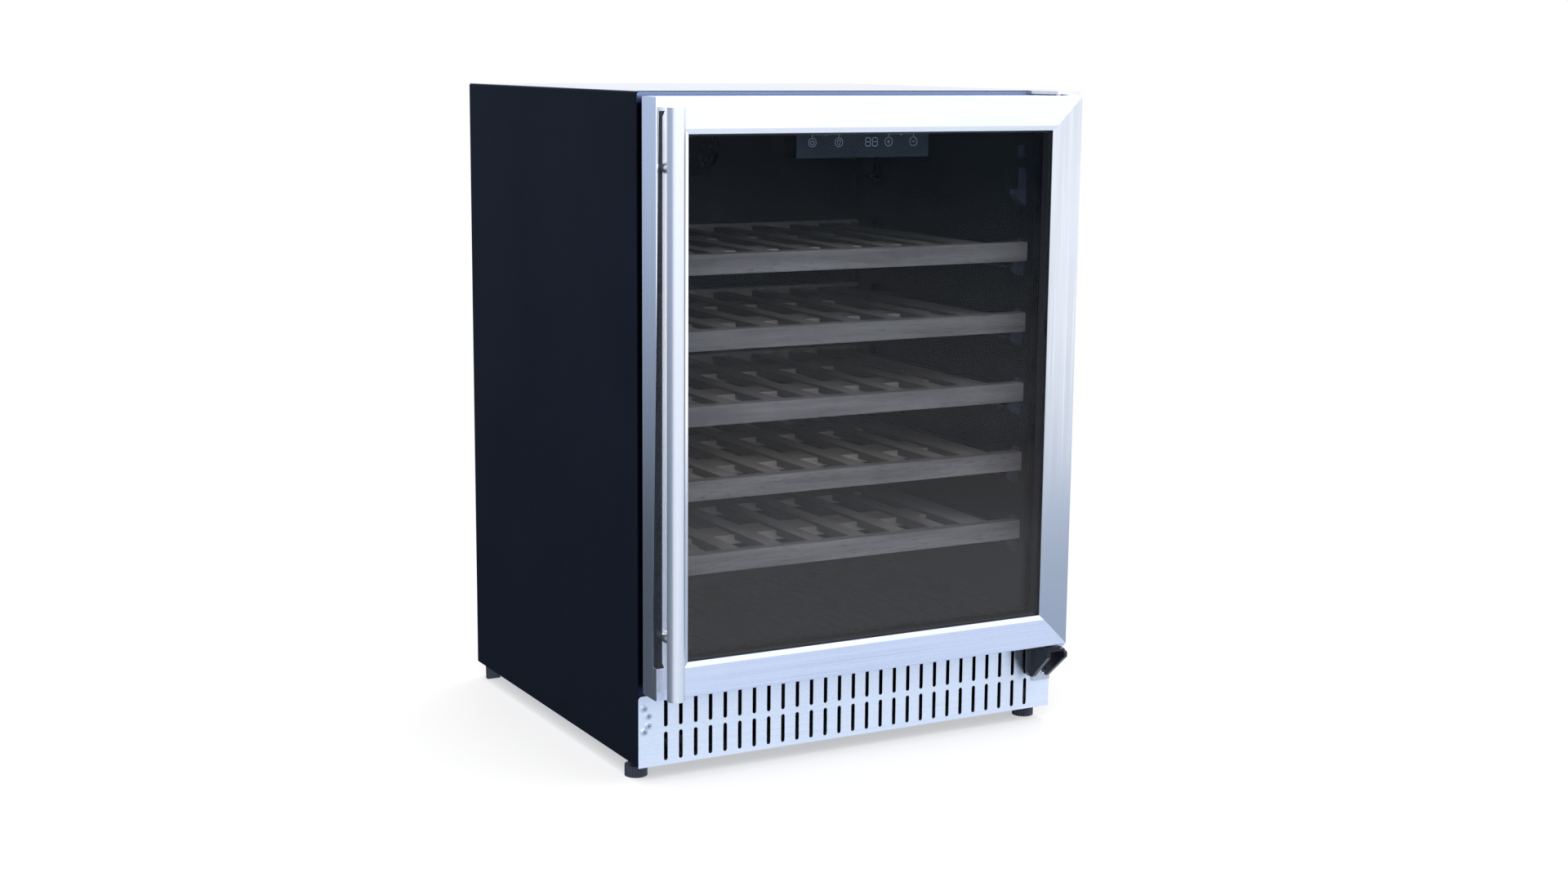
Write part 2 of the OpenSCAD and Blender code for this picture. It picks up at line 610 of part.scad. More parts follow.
module door_inner_frame() color("#121417") in_place() difference() {
    union() {
        door_ring(skin + fit, mirror_w, inner_glass_y + glass_t + fit, front_y + door_t, 8);
        door_ring(33, glass_w - fit, front_y + 4, inner_glass_y + glass_t + 1, 2);
    }
    // hollow behind the steel, solid where the hinge bushes sit
    difference() {
        door_ring(4, 33, inner_glass_y + glass_t - 1, front_y + door_t - 3, 1);
        for (z = [door_bottom, door_top - 40])
            block([door_r - 34, front_y, z], [door_r, 0, z + 40]);
    }
    bush_places(0) disc_z([0, 0, -1], bush_r + fit, 26);
}

// Places on the hinge axis at the door's two ends, each with +Z pointing into the door.
module bush_places(lift) {
    translate([hinge_x, hinge_y, door_bottom + lift]) children();
    translate([hinge_x, hinge_y, door_top - lift]) mirror([0, 0, 1]) children();
}

module hinge_bushes() color("#e8e6da") in_place() difference() {
    union() {
        bush_places(0) cylinder(r = bush_r, h = 24);
        disc_z([hinge_x, hinge_y, door_bottom - 1], 8.5, 1 - fit);
        disc_z([hinge_x, hinge_y, door_bottom - 0.5], bush_r, 1);
    }
    bush_places(0) disc_z([0, 0, -2], pin_r + run, 30);
}

module door_gasket() color("#1b1d20") in_place() {
    door_ring(gasket_in, gasket_in + gasket_w, -gasket_lift - 3.4, -gasket_lift, 6);
    door_ring(gasket_in + 3, gasket_in + gasket_w - 3, -door_gap + fit, -gasket_lift - 3, 5);
}

module handle_tube() color("#b9c3d6") in_place() difference() {
    disc_z([handle_x, handle_y, handle_mid - handle_len / 2], handle_d / 2, handle_len);
    disc_z([handle_x, handle_y, handle_mid - handle_len / 2 + 2], handle_d / 2 - 1.5, handle_len - 4);
}

module handle_posts() color("#c9ced8") in_place() difference() {
    post_places() disc_y([0, handle_y, 0], post_r, handle_standoff - fit);
    disc_z([handle_x, handle_y, handle_mid - handle_len / 2 - 1], handle_d / 2 + fit, handle_len + 2);
    post_places() disc_y([0, front_y - 11, 0], screw_r + fit, 12);
}

module handle_screws() color("#9a9da3") in_place() post_places() {
    disc_y([0, front_y - 10.5, 0], screw_r, 12);
    disc_y([0, front_y + skin + fit, 0], handle_head_r, 3);
}

module grip_insert() color("#101217") in_place() intersection() {
    grip_shape(fit, 8.8);
    block([door_l + 0.4, front_y + 0.4, door_bottom], [door_l + 13, front_y + 8.7, door_top]);
}

/* Hinges */

module bottom_hinge_bracket() color("#9da2aa") in_place() difference() {
    union() {
        block([270, leg_front, 57], [296, -kick_t - fit, leaf_z + 3]);
        block([263, -36, leaf_z], [296, -kick_t - fit, leaf_z + 3]);
    }
    for (s = hinge_screws) disc_y([s.x, -8, s.y], screw_shank + fit, 10);
    disc_z([hinge_x, hinge_y, leaf_z - 2], pin_r + 0.02, 8);
}

module top_hinge_plate() color("#ccd0d8") in_place() difference() {
    union() {
        along_z(door_top + 1.6, cab_top - 0.1)
            polygon([[241, -fit], [241, -7], [262, -34], [296, -34], [296, -fit]]);
        block([281.5, -2 - fit, 788], [296, -fit, cab_top - 0.1]);
    }
    for (s = top_hinge_screws) disc_y([s.x, -4, s.y], screw_shank + fit, 6);
    disc_z([hinge_x, hinge_y, door_top - 1], pin_r + 0.02, 8);
}

module hinge_pins() color("#b0b3b8") in_place() {
    disc_z([hinge_x, hinge_y, leaf_z - 2], pin_r, 26);
    disc_z([hinge_x, hinge_y, leaf_z + 3 + fit], 7, door_bottom - 1 - 0.1 - leaf_z - 3);
    disc_z([hinge_x, hinge_y, door_top - 20], pin_r, 20 + cab_top - 0.1 - door_top);
}

// Plastic cover over the bottom hinge: an inner wing and an outer cheek, each sloping up
// towards the front, joined under the leaf, with a ribbed boss at the front.
module hinge_cover() color("#14161b") in_place() difference() {
    back = leg_front - fit;
    top = leaf_z - fit;
    union() {
        hull() {
            block([257, -9, 73], [266, back, top]);
            block([260, -16, 66.5], [266, back, 72]);
            block([260.5, -48, 99], [266, -40, top]);
        }
        hull() {
            block([287, -49, 98], [291.5, -44, 104.5]);
            block([287, -36, 100], [291.5, back, top]);
            block([287, -10, 64], [291.5, back, 70]);
        }
        block([266, -48, top - 3], [288, back, top]);
        block([260, -48, top - 1], [281, -37, 113.2]);
        for (i = [0:3]) block([260.5, -49, top + 1.4 * i - 1], [280.5, -47, top + 1.4 * i - 0.3]);
    }
    disc_z([hinge_x, hinge_y, leaf_z - 10], 6, 20);
    for (s = hinge_screws) disc_y([s.x, back - 3.5, s.y], 5, 6);
}

/* Feet */

// Knurled foot with its threaded stem.
module foot(x) in_place() {
    translate([x, foot_y, 0]) {
        linear_extrude(14) polygon([for (i = [0:71]) (14 - (i % 3 == 0 ? 0.9 : 0)) * [cos(5 * i), sin(5 * i)]]);
        disc_z([0, 0, 13], 7, base_z - 13 - fit);
        disc_z([0, 0, 13], stem_r, 52);
    }
}

module rear_feet() color("#14161a") in_place() both_sides() along_x(rear_foot_x[0], rear_foot_x[1])
    polygon([[rear_foot_y[0], 0], [rear_foot_y[1], 0], [rear_foot_y[1] + 1, base_z - fit],
        [rear_foot_y[0] - 1, base_z - fit]]);

module foot_left() color("#1a1d24") foot(-foot_x);
module foot_right() color("#1a1d24") foot(foot_x);

module rack_1() color("#a8917c") rack(1);
module rack_2() color("#a8917c") rack(2);
module rack_3() color("#a8917c") rack(3);
module rack_4() color("#a8917c") rack(4);
module rack_5() color("#a8917c") rack(5);
module rack_1_runners() color("#6a6e75") rack_runners(1);
module rack_2_runners() color("#6a6e75") rack_runners(2);
module rack_3_runners() color("#6a6e75") rack_runners(3);
module rack_4_runners() color("#6a6e75") rack_runners(4);
module rack_5_runners() color("#6a6e75") rack_runners(5);

cabinet_wrapper();
back_panel();
base_plate();
front_face_frame();
foam_insulation();
inner_liner();
kickplate_grille();
cabinet_screws();
evaporator_cover();
evaporator_coil();
circulation_fan_frame();
circulation_fan_rotor();
compressor();
compressor_grommets();
condenser_coil();
condenser_fan_frame();
condenser_fan_rotor();
refrigerant_lines();
drain_pan();
drain_tube();
power_board_box();
control_housing();
touch_panel();
light_strip();
temperature_sensor();
wall_brackets();
runner_channels();
rack_1();
rack_2();
rack_3();
rack_4();
rack_5();
rack_1_runners();
rack_2_runners();
rack_3_runners();
rack_4_runners();
rack_5_runners();
door_left_stile();
door_right_stile();
door_top_rail();
door_bottom_rail();
outer_glass();
inner_glass();
glass_spacer();
door_inner_frame();
door_gasket();
handle_tube();
handle_posts();
handle_screws();
grip_insert();
top_hinge_plate();
bottom_hinge_bracket();
hinge_pins();
hinge_bushes();
hinge_cover();
foot_left();
foot_right();
rear_feet();
rear_cover();
power_cord();
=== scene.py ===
from math import cos, pi, radians, sin

import bmesh
import bpy
from mathutils import Matrix, Vector


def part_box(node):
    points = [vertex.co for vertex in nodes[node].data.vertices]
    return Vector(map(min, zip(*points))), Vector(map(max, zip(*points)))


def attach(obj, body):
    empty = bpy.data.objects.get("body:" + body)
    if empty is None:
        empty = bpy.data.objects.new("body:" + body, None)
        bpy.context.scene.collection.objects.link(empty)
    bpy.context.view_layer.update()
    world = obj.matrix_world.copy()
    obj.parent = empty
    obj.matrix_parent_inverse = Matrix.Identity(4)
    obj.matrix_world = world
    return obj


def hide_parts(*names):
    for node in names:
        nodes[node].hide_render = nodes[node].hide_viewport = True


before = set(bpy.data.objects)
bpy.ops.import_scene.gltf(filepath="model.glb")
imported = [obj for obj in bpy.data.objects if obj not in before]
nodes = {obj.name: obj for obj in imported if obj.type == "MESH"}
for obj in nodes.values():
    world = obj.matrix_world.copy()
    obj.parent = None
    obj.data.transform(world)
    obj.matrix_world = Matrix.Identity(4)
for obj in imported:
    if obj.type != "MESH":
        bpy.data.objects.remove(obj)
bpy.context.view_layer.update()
MM = 0.001
RACKS = range(1, 6)


# ---------------------------------------------------------------- material builder

class Shader:
    """Builds one material's nodes. Every method returns an output socket."""

    def __init__(self, name):
        self.mat = bpy.data.materials.new(name)
        self.mat.use_nodes = True
        self.tree = self.mat.node_tree
        self.tree.nodes.clear()
        self.out = self.tree.nodes.new("ShaderNodeOutputMaterial")
        self.place = self.node("ShaderNodeTexCoord").outputs["Object"]

    def node(self, kind, inputs=None, **settings):
        made = self.tree.nodes.new(kind)
        for key, value in settings.items():
            setattr(made, key, value)
        for key, value in (inputs or {}).items():
            self.feed(made.inputs[key], value)
        return made

    def feed(self, socket, value):
        if isinstance(value, bpy.types.NodeSocket):
            self.tree.links.new(value, socket)
        else:
            socket.default_value = value

    def math(self, operation, a, b=0.0):
        return self.node("ShaderNodeMath", {0: a, 1: b}, operation=operation).outputs[0]

    def scaled(self, stretch, place=None):
        made = self.node("ShaderNodeVectorMath", {0: place or self.place, 1: stretch}, operation="MULTIPLY")
        return made.outputs[0]

    def noise(self, stretch, detail=2.0, rough=0.5, place=None):
        """stretch: noise cells per metre, as one number or one per axis."""
        stretch = (stretch,) * 3 if isinstance(stretch, (int, float)) else stretch
        made = self.node("ShaderNodeTexNoise", {"Vector": self.scaled(stretch, place), "Scale": 1.0,
                                                "Detail": detail, "Roughness": rough})
        return made.outputs["Fac"]

    def cells(self, scale, output="Color"):
        return self.node("ShaderNodeTexVoronoi", {"Vector": self.place, "Scale": scale}).outputs[output]

    def remap(self, value, low, high, to_low, to_high, smooth=False):
        made = self.node("ShaderNodeMapRange", {"Value": value, "From Min": low, "From Max": high,
                                                "To Min": to_low, "To Max": to_high},
                         interpolation_type="SMOOTHSTEP" if smooth else "LINEAR")
        return made.outputs["Result"]

    def over(self, noise, to_low, to_high):
        """Noise brought from 0.3 to 0.7, the span it mostly keeps to, to the given span."""
        return self.remap(noise, 0.3, 0.7, to_low, to_high)

    def blend(self, share, a, b):
        """Colour a where share is 0, b where it is 1. The Mix node's colour sockets are 6 and 7."""
        made = self.node("ShaderNodeMix", data_type="RGBA")
        self.feed(made.inputs[0], share)
        for index, colour in ((6, a), (7, b)):
            self.feed(made.inputs[index], self.opaque(colour))
        return made.outputs[2]

    def choose(self, share, a, b):
        """Number a where share is 0, b where it is 1. The Mix node's number sockets are 2 and 3."""
        return self.node("ShaderNodeMix", {0: share, 2: a, 3: b}).outputs[0]

    @staticmethod
    def opaque(colour):
        return colour if isinstance(colour, bpy.types.NodeSocket) else (*colour, 1.0)

    def split(self, vector=None):
        return self.node("ShaderNodeSeparateXYZ", {0: vector or self.place}).outputs

    def facing(self):
        """x, y and z of the direction the surface faces."""
        return self.split(self.node("ShaderNodeNewGeometry").outputs["Normal"])

    def rounded(self, radius):
        """Normal with the part's sharp edges rounded off."""
        return self.node("ShaderNodeBevel", {"Radius": radius}, samples=4).outputs["Normal"]

    def bump(self, height, depth, strength=1.0, normal=None):
        inputs = {"Height": height, "Distance": depth, "Strength": strength}
        if normal is not None:
            inputs["Normal"] = normal
        return self.node("ShaderNodeBump", inputs).outputs["Normal"]

    def surface(self, colour, rough, normal, **more):
        """Principled surface. more: its other inputs by name, with _ for a space."""
        inputs = {"Base Color": self.opaque(colour), "Roughness": rough, "Normal": normal}
        for key, value in more.items():
            inputs[key.replace("_", " ")] = value
        return self.finish(self.node("ShaderNodeBsdfPrincipled", inputs).outputs[0])

    def finish(self, shader):
        self.tree.links.new(shader, self.out.inputs["Surface"])
        return self.mat


def times(colour, factor):
    return tuple(v * factor for v in colour)


EDGE = 0.45 * MM        # rounding of ordinary edges
FINE_EDGE = 0.3 * MM    # rounding of small fittings


# ---------------------------------------------------------------- metals

def brushed_steel(name, tint, across, stretch, rough, spread=1.0, front_highlight=None):
    """Stainless sheet. across: direction over the brush lines; stretch: noise scale along each axis;
    spread: how far highlights are drawn out over the lines; the last argument: a lighter tint for faces that look
    forward, a painted highlight."""
    s = Shader(name)
    fine = s.noise(stretch, 3.0, 0.6)
    broad = s.noise(tuple(v / 9 for v in stretch), 2.0)
    smudge = s.noise(5.0, 3.0)
    colour = s.blend(s.math("MULTIPLY", fine, 0.5), tint, times(tint, 0.88))
    # painted highlight: faces that look forward take the lighter tint
    if front_highlight:
        forward = s.remap(s.facing()[1], -0.9, -0.6, 1, 0)
        colour = s.blend(forward, colour, front_highlight)
    wear = s.math("ADD", s.over(broad, -0.02, 0.03), s.remap(smudge, 0.35, 0.65, -0.015, 0.02))
    roughness = s.math("ADD", s.over(fine, rough - 0.05, rough + 0.06), wear)
    lines = s.node("ShaderNodeVectorTransform", {0: across}, vector_type="VECTOR",
                   convert_from="OBJECT", convert_to="WORLD").outputs[0]
    scratches = s.math("ADD", fine, s.math("MULTIPLY", broad, 0.5))
    normal = s.bump(scratches, 0.03 * MM, 0.2, s.rounded(EDGE))
    return s.surface(colour, roughness, normal, Metallic=1.0, Anisotropic=spread, Tangent=lines)


def coated_steel(name, dark, light, grain, depth, rough, specular, smooth_top=False):
    """Powder-coated or painted sheet with a stipple of the given grain (per metre) and depth.
    smooth_top leaves faces that look up smooth and glossy."""
    s = Shader(name)
    stipple = s.noise(grain, 2.0, 0.55)
    drift = s.noise(6.0, 3.0)
    mottle = s.math("ADD", stipple, s.math("MULTIPLY", drift, 0.4))
    colour = s.blend(s.remap(mottle, 0.45, 0.95, 0, 1), dark, light)
    roughness = s.over(stipple, rough - 0.06, rough + 0.06)
    strength = 0.6
    if smooth_top:
        up = s.remap(s.facing()[2], 0.6, 0.95, 0, 1)
        glossy = s.math("MULTIPLY", roughness, s.remap(up, 0, 1, 1, 0.25))
        roughness = s.math("ADD", glossy, s.math("MULTIPLY", up, 0.02))
        specular = s.remap(up, 0, 1, specular, 0.29)
        strength = s.remap(up, 0, 1, strength, 0.06)
    normal = s.bump(stipple, depth, strength, s.rounded(EDGE))
    return s.surface(colour, roughness, normal, Specular_IOR_Level=specular)


def flange_paint(name):
    """Violet-blue metallic coat along the top of the front flange. The sides, always behind the door, are painted
    dark as painted shade.
    """
    strip_full, strip_ends = 9 * MM, 14 * MM
    s = Shader(name)
    stipple = s.noise(1200.0, 2.0, 0.55)
    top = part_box("front_face_frame")[1].z
    strip = s.remap(s.split()[2], top - strip_ends, top - strip_full, 0, 1, True)
    tint = s.blend(stipple, (0.15, 0.2, 0.36), (0.19, 0.25, 0.43))
    # painted shade: below the top strip the coat gives way to near black, for the shade behind the door
    colour = s.blend(strip, (0.013, 0.017, 0.036), tint)
    normal = s.bump(stipple, 0.05 * MM, 0.5, s.rounded(EDGE))
    return s.surface(colour, s.over(stipple, 0.24, 0.34), normal, Metallic=0.95)


def bare_metal(name, tint, stain, rough, grain=400.0, patch=25.0):
    """Plain metal with patches of stain. grain and patch: scales of the fine and the broad noise, per metre."""
    s = Shader(name)
    texture = s.noise(grain, 3.0)
    patches = s.noise(patch, 4.0, 0.65)
    colour = s.blend(s.remap(patches, 0.35, 0.75, 0, 1), tint, stain)
    roughness = s.math("ADD", s.over(texture, rough - 0.05, rough + 0.05), s.over(patches, -0.04, 0.08))
    normal = s.bump(texture, 0.03 * MM, 0.4, s.rounded(FINE_EDGE))
    return s.surface(colour, roughness, normal, Metallic=1.0)


def fastener(name):
    """Plated screw: bright on top, with painted shade darkening the recess."""
    recess = 1.4 * MM
    s = Shader(name)
    texture = s.noise(600.0, 3.0)
    open_air = s.node("ShaderNodeAmbientOcclusion", {"Distance": recess}, samples=6, only_local=True).outputs["AO"]
    # painted shade: the colour goes near black where the ambient occlusion finds the recess
    colour = s.blend(s.remap(open_air, 0.45, 0.85, 0, 1), (0.03, 0.035, 0.05), (0.86, 0.88, 0.92))
    normal = s.bump(texture, 0.02 * MM, 0.3, s.rounded(FINE_EDGE))
    return s.surface(colour, s.over(texture, 0.12, 0.22), normal, Metallic=1.0)


def galvanised(name):
    """Zinc-dipped sheet with its spangle."""
    s = Shader(name)
    spangle = s.split(s.cells(85.0))[0]
    texture = s.noise(500.0)
    colour = s.blend(spangle, (0.2, 0.21, 0.23), (0.34, 0.35, 0.37))
    roughness = s.remap(spangle, 0, 1, 0.32, 0.5)
    return s.surface(colour, roughness, s.bump(texture, 0.03 * MM, 0.4, s.rounded(EDGE)), Metallic=0.9)


# ---------------------------------------------------------------- plastics, foam and wood

def moulded_plastic(name, dark, light, grain, depth, rough, specular=0.5, coat=0.0, fade=None):
    """Moulded part with a fine texture of the given grain (per metre) and depth.
    The optional last argument: a node over whose depth colour and shine are darkened, as painted shade, for parts
    that run back into a dark cavity."""
    s = Shader(name)
    texture = s.noise(grain, 3.0, 0.6)
    drift = s.noise(14.0, 2.0)
    colour = s.blend(s.over(drift, 0, 1), dark, light)
    # painted shade: darker and less shiny towards the back of the given node
    if fade:
        low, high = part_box(fade)
        colour = s.blend(s.remap(s.split()[1], low.y, high.y, 0, 1), colour, times(dark, 0.12))
        specular = s.remap(s.split()[1], low.y, high.y, specular, 0.02)
    roughness = s.math("ADD", s.over(texture, rough - 0.04, rough + 0.05), s.over(drift, -0.03, 0.03))
    normal = s.bump(texture, depth, 0.35, s.rounded(EDGE))
    return s.surface(colour, roughness, normal, Specular_IOR_Level=specular, Coat_Weight=coat)


def foam(name):
    """Insulation with open pores."""
    s = Shader(name)
    pores = s.cells(450.0, "Distance")
    colour = s.blend(s.remap(pores, 0, 0.8, 0, 1), (0.24, 0.19, 0.1), (0.4, 0.34, 0.2))
    return s.surface(colour, 0.9, s.bump(pores, 0.4 * MM, 0.7))


WOOD_DARK = (0.215, 0.18, 0.155)
WOOD_LIGHT = (0.41, 0.355, 0.315)
SHADOW = (0.02, 0.021, 0.023)
FRONT_RAIL = 17 * MM        # how far each rail reaches in from the rack's front or back
BACK_RAIL = 14 * MM
SLAT_DEPTH = 7.9 * MM       # what lies deeper than this under the top is a cross rail
CROSS_RAIL_END = 184.9 * MM


def wood(name, rack):
    """Beech: grain runs along X in the front, back and cross rails, and along Y in the slats and sides.
    All but the front rail is darkened by painted shade, most on the sawn flanks between the slats, where little
    light reaches."""
    s = Shader(name)
    low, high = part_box(rack)
    x, y, z = s.split()
    front = s.math("LESS_THAN", y, low.y + FRONT_RAIL)
    back = s.math("GREATER_THAN", y, high.y - BACK_RAIL)
    deep = s.math("LESS_THAN", z, high.z - SLAT_DEPTH)
    middle = s.math("LESS_THAN", s.math("ABSOLUTE", x), CROSS_RAIL_END)
    lengthwise = s.math("MAXIMUM", s.math("MAXIMUM", front, back), s.math("MULTIPLY", deep, middle))
    along = s.choose(lengthwise, y, x)
    across = s.choose(lengthwise, x, y)
    place = s.node("ShaderNodeCombineXYZ", {0: along, 1: across, 2: z}).outputs[0]
    figure = s.noise((5.0, 55.0, 70.0), 4.0, 0.6, place)
    rays = s.noise((60.0, 900.0, 900.0), 2.0, 0.6, place)
    board = s.noise((0.4, 16.0, 16.0), 0.0, 0.5, place)
    base = s.blend(s.remap(figure, 0.34, 0.66, 0, 1), WOOD_DARK, WOOD_LIGHT)
    base = s.blend(s.over(board, 0.0, 0.35), base, times(WOOD_LIGHT, 0.8))
    colour = s.blend(s.remap(rays, 0.58, 0.7, 0, 0.75), base, times(WOOD_DARK, 0.4))
    # painted shade: flanks that face sideways are coloured towards SHADOW
    sideways = s.remap(s.math("ABSOLUTE", s.facing()[0]), 0.5, 0.9, 0, 0.8)
    colour = s.blend(s.math("MULTIPLY", sideways, s.math("SUBTRACT", 1.0, front)), colour, SHADOW)
    # painted shade: everything but the front rail is darkened by 38 percent
    colour = s.blend(s.math("MULTIPLY", s.math("SUBTRACT", 1.0, front), 0.38), colour, (0.0, 0.0, 0.0))
    height = s.math("SUBTRACT", s.math("MULTIPLY", figure, 0.6), s.math("MULTIPLY", rays, 0.5))
    normal = s.bump(height, 0.12 * MM, 0.5, s.rounded(0.7 * MM))
    return s.surface(colour, s.over(figure, 0.42, 0.56), normal, Specular_IOR_Level=0.35)


# ---------------------------------------------------------------- glass and lights on the object

GLASS_IOR = 1.5
GLASS_TINT = (0.9, 0.92, 0.945)
# painted reflection: colours the panes reflect, from high to near, by how far below level the reflected direction
# points
PAINTED_REFLECTION_HIGH = (0.037, 0.048, 0.054)
PAINTED_REFLECTION_MIDDLE = (0.17, 0.165, 0.16)
PAINTED_REFLECTION_LOW = (1.2, 0.93, 0.67)
PAINTED_REFLECTION_NEAR = (0.5, 0.48, 0.45)
NEAR_BAND = (-0.42, -0.32)      # z of a reflected direction, over which the near floor gives way to the far one


def smoked_glass(name):
    """Tinted pane: light passes straight through, and both faces reflect by Fresnel.
    Their reflections are painted reflections, coloured by direction: dark when level, so they veil only the lower
    part of the pane."""
    s = Shader(name)
    behind = s.node("ShaderNodeNewGeometry").outputs["Backfacing"]
    dust = s.noise(30.0, 4.0)
    ior = s.remap(behind, 0, 1, GLASS_IOR, 1 / GLASS_IOR)
    mirror = s.node("ShaderNodeFresnel", {"IOR": ior}).outputs[0]
    film = s.blend(s.over(dust, 0, 1), GLASS_TINT, times(GLASS_TINT, 0.985))
    clear = s.node("ShaderNodeBsdfTransparent", {"Color": film}).outputs[0]
    away = s.split(s.node("ShaderNodeTexCoord").outputs["Reflection"])[2]
    # painted reflection: the reflection colour is picked from the reflected direction
    seen = s.blend(s.remap(away, -0.155, -0.05, 1, 0), PAINTED_REFLECTION_HIGH, PAINTED_REFLECTION_MIDDLE)
    seen = s.blend(s.remap(away, -0.22, -0.165, 1, 0, True), seen, PAINTED_REFLECTION_LOW)
    seen = s.blend(s.remap(away, *NEAR_BAND, 1, 0, True), seen, PAINTED_REFLECTION_NEAR)
    shine = s.node("ShaderNodeBsdfAnisotropic", {"Color": seen, "Roughness": s.over(dust, 0.0, 0.03)})
    return s.finish(s.node("ShaderNodeMixShader", {0: mirror, 1: clear, 2: shine.outputs[0]}).outputs[0])


def touch_glass(name):
    s = Shader(name)
    smear = s.noise((40.0, 40.0, 160.0), 3.0)
    colour = s.blend(smear, (0.013, 0.021, 0.03), (0.02, 0.03, 0.042))
    return s.surface(colour, s.over(smear, 0.12, 0.25), s.rounded(FINE_EDGE), Specular_IOR_Level=0.3)


def lit_mark(name):
    s = Shader(name)
    glow = s.noise(900.0)
    colour = s.blend(glow, (0.5, 0.56, 0.66), (0.62, 0.68, 0.78))
    return s.surface(colour, 0.4, s.rounded(0.05 * MM), Emission_Color=colour, Emission_Strength=0.05)


def diffuser(name):
    """Milky cover of the light strip, finely ribbed across its length."""
    s = Shader(name)
    ribs = s.noise((900.0, 40.0, 40.0), 1.0)
    colour = s.blend(ribs, (0.72, 0.74, 0.76), (0.85, 0.86, 0.87))
    normal = s.bump(ribs, 0.05 * MM, 0.4, s.rounded(EDGE))
    return s.surface(colour, 0.35, normal, Subsurface_Weight=0.2, Subsurface_Scale=2 * MM)


def perforated_bar(name):
    """Spacer between the panes, with small holes to the drying agent inside it."""
    s = Shader(name)
    holes = s.cells(380.0, "Distance")
    # painted shade: the holes are coloured darker than the bar, for the shade inside them
    colour = s.blend(s.remap(holes, 0.25, 0.4, 1, 0), (0.02, 0.022, 0.026), (0.004, 0.004, 0.005))
    return s.surface(colour, 0.5, s.bump(s.remap(holes, 0.2, 0.4, 0, 1), 0.1 * MM, 0.5))


# ---------------------------------------------------------------- finishes

STEEL = (0.78, 0.8, 0.83)
# painted shade: the bottom rail and the kickplate take darker, bluer copies of the same steel's tint
SHADED_LOW_STEEL = (0.54, 0.59, 0.72)
SHADED_KICK_STEEL = (0.63, 0.69, 0.78)
ALONG_Z = (1100.0, 1100.0, 6.0)     # noise scales that draw brush lines along Z, and along X
ALONG_X = (6.0, 1100.0, 1100.0)
HALF = 0.7071
ACROSS_RAIL = (0, HALF, HALF)       # halfway between Y and Z, so it suits front and top faces alike

